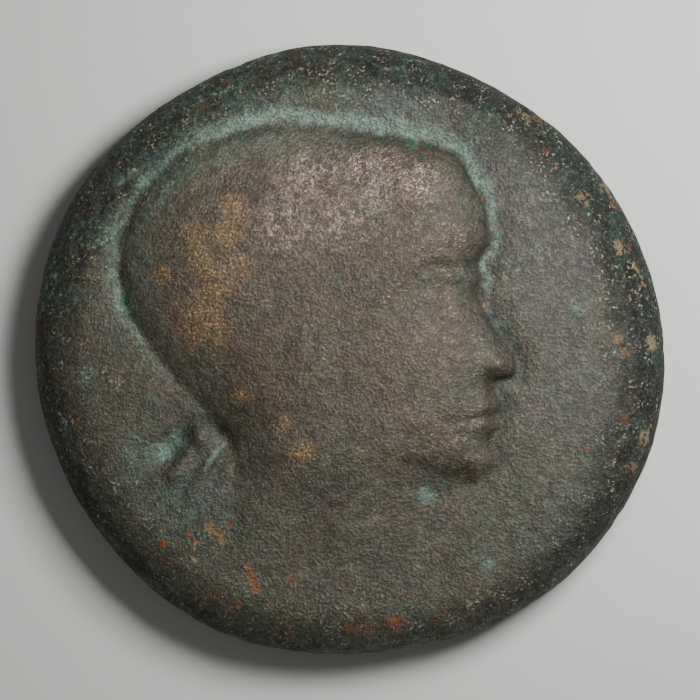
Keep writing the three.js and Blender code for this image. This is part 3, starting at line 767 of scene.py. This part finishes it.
def add_verdigris(nodes, skin):
    """Frosted pale green in the hollow round the head, with emerald along its shore"""
    crystals = nodes.ramp(nodes.texture(0.1, 4.0, 0.75), 0.4, 0.6)
    frost = nodes.times(crystals, nodes.attribute("frost"))
    deposit = nodes.blend(frost, DULL_VERDIGRIS, PALE_VERDIGRIS)
    skin = nodes.blend(nodes.broken("verdigris", 0.35, 1.2, 0.1, 1.0), skin, deposit)
    return nodes.blend(nodes.broken("emerald", 0.3, 0.6, 0.2, 1.0), skin, EMERALD)


def add_grit(nodes, skin):
    """Clusters of light flecks, mostly along the edge"""
    clusters = nodes.ramp(nodes.texture(0.6, 3.0), 0.5, 0.6)
    flecks = nodes.times(nodes.ramp(nodes.texture(0.13, 2.0), 0.58, 0.66), clusters)
    grit = nodes.maths("MAXIMUM", nodes.attribute("grit"), nodes.ramp(nodes.attribute("rim"), 0.0, 0.2))
    tone = nodes.blend(nodes.ramp(nodes.texture(0.5), 0.56, 0.64), GREEN_GRIT, PINK_GRIT)
    return nodes.blend(nodes.times(flecks, nodes.times(grit, 0.9)), skin, tone)


def add_spots_and_seam_shade(nodes, skin, specks, flakes):
    """Ochre, cream and rust, and painted shade along the head's outline and round the knot"""
    skin = nodes.blend(nodes.broken("ochre", 0.2, 1.4, 0.4, 1.0), skin, OCHRE)
    cream = nodes.maths("ADD", nodes.attribute("cream"), nodes.ramp(flakes, 0.3, 0.8, -0.6, 0.4))
    cream = nodes.times(nodes.ramp(cream, 0.6, 0.95), nodes.ramp(nodes.attribute("cream"), 0.0, 0.25))
    skin = nodes.blend(cream, skin, nodes.blend(nodes.ramp(specks, 0.45, 0.55), CREAM, CREAM_STAIN))
    rust = nodes.blend(nodes.ramp(specks, 0.4, 0.6), RED_RUST, ORANGE_RUST)
    rust = nodes.blend(nodes.ramp(nodes.attribute("rim"), 0.0, 0.3, 0.0, 0.8), rust, EDGE_RUST)
    skin = nodes.blend(nodes.broken("rust", 0.2, 1.4, 0.4, 0.9), skin, rust)
    # Painted shade along the head's outline and round the knot
    return nodes.blend(nodes.times(nodes.attribute("seam_shade"), 0.6), skin, SEAM_SHADE)


def metal_share(nodes, hollow, coarse):
    """Bare metal: short scratches on the crown, and dots where the skin stands proud"""
    first, second, third = (nodes.strokes(turn) for turn in SCRATCH_TURNS)
    scratches = nodes.maths("MAXIMUM", first, nodes.maths("MAXIMUM", second, third))
    scratches = nodes.times(scratches, nodes.ramp(nodes.attribute("worn"), 0.25, 0.8))
    metal = nodes.maths("MAXIMUM", scratches, nodes.ramp(nodes.texture(0.09, 2.0), 0.6, 0.68))
    metal = nodes.times(metal, nodes.ramp(hollow, -0.6, 0.2, 1.6, 0.5))
    metal = nodes.times(metal, nodes.ramp(coarse, 0.35, 0.6, 0.3, 1.0))
    return nodes.times(metal, nodes.attribute("worn"))


def patina():
    """The coin's one material, from the skin upwards"""
    material = bpy.data.materials.new("patinated_bronze")
    nodes = Nodes(material)
    fine, coarse = nodes.texture(0.13, 3.0, 0.65), nodes.texture(0.4, 3.0, 0.6)
    patches, specks = nodes.texture(1.4, 4.0), nodes.texture(0.2, 4.0, 0.75)
    hollow = nodes.attribute("hollow")
    flakes = nodes.maths("ADD", nodes.attribute("flakes"), nodes.ramp(specks, 0.3, 0.7, -0.3, 0.3))
    rim = nodes.maths("ADD", nodes.attribute("rim"), nodes.ramp(flakes, 0.2, 0.8, 0.12, -0.12))

    skin = add_wear_shade_and_highlight(nodes, bare_skin(nodes, patches), hollow, coarse)
    skin = nodes.blend(nodes.ramp(rim, 0.05, 0.85), skin, edge_tone(nodes, patches, flakes))
    # Painted shade: the colour falls to half its brightness towards the right-hand edge
    painted_shade_factor = nodes.ramp(nodes.attribute("painted_edge_shade"), 0.0, 1.0, 1.0, 0.5)
    skin = nodes.blend(1.0, skin, painted_shade_factor, "MULTIPLY")
    skin = add_grit(nodes, add_verdigris(nodes, skin))
    skin = add_spots_and_seam_shade(nodes, skin, specks, flakes)
    skin = nodes.blend(0.3, skin, nodes.texture(0.16, 3.0, 0.6, "Color"), "OVERLAY")
    skin = nodes.blend(0.2, skin, nodes.texture(1.1, 4.0, 0.6, "Color"), "OVERLAY")
    metal = metal_share(nodes, hollow, coarse)
    skin = nodes.blend(metal, skin, BARE_METAL)

    grain = nodes.maths("ADD", nodes.ramp(fine, 0.3, 0.7, -0.6, 0.6), nodes.ramp(coarse, 0.3, 0.7, -0.4, 0.4))
    shade = nodes.ramp(grain, -0.7, 0.7, 0.67, 1.25)
    bump = {"Height": grain, "Strength": 1.0, "Distance": BUMP_HEIGHT * MM}
    nodes.join("Base Color", nodes.blend(1.0, skin, shade, "MULTIPLY"))
    nodes.join("Metallic", nodes.ramp(metal, 0.0, 1.0, 0.3, 0.7))
    nodes.join("Roughness", nodes.ramp(rim, 0.0, 0.8, 0.48, 0.8))
    nodes.join("Normal", nodes.make("Bump", bump, "Normal"))
    return material


def make_floor():
    mesh = bpy.data.meshes.new("floor")
    corners = [(x * FLOOR_REACH, y * FLOOR_REACH, 0) for x, y in ((-1, -1), (1, -1), (1, 1), (-1, 1))]
    mesh.from_pydata(corners, [], [(0, 1, 2, 3)])
    floor = bpy.data.objects.new("floor", mesh)
    bpy.context.collection.objects.link(floor)
    material = bpy.data.materials.new("floor")
    material.use_nodes = True
    shader = material.node_tree.nodes["Principled BSDF"]
    shader.inputs["Base Color"].default_value = FLOOR_COLOUR
    shader.inputs["Roughness"].default_value = FLOOR_ROUGHNESS
    mesh.materials.append(material)


def add_light(name, azimuth, elevation, distance, size, power):
    """A square light that shines on the coin"""
    light = bpy.data.lights.new(name, "AREA")
    light.size, light.energy = size, power
    turn, rise = np.radians(azimuth), np.radians(elevation)
    away = Vector((np.cos(turn), np.sin(turn), 0)) * np.cos(rise)
    away.z = np.sin(rise)
    lamp = bpy.data.objects.new(name, light)
    lamp.location = away * distance
    lamp.rotation_euler = away.to_track_quat("Z", "Y").to_euler()
    bpy.context.collection.objects.link(lamp)


def make_light():
    add_light("key", *KEY_LIGHT)
    add_light("fill", *FILL_LIGHT)
    world = bpy.data.worlds.new("studio")
    world.use_nodes = True
    world.node_tree.nodes["Background"].inputs["Color"].default_value = (1, 1, 1, 1)
    world.node_tree.nodes["Background"].inputs["Strength"].default_value = WORLD_STRENGTH
    bpy.context.scene.world = world


def make_camera():
    """Looks straight down on the coin, with the photograph's frame round it"""
    camera = bpy.data.cameras.new("camera")
    camera.lens, camera.sensor_width = LENS, SENSOR_WIDTH
    camera.clip_start, camera.clip_end = 0.001, 10
    height = EDGE_LEVEL * MM + VIEW_WIDTH * MM * camera.lens / camera.sensor_width
    holder = bpy.data.objects.new("camera", camera)
    holder.location = (VIEW_CENTRE[0] * MM, VIEW_CENTRE[1] * MM, height)
    bpy.context.collection.objects.link(holder)
    bpy.context.scene.camera = holder


make_camera()
make_light()
make_floor()
make_coin()
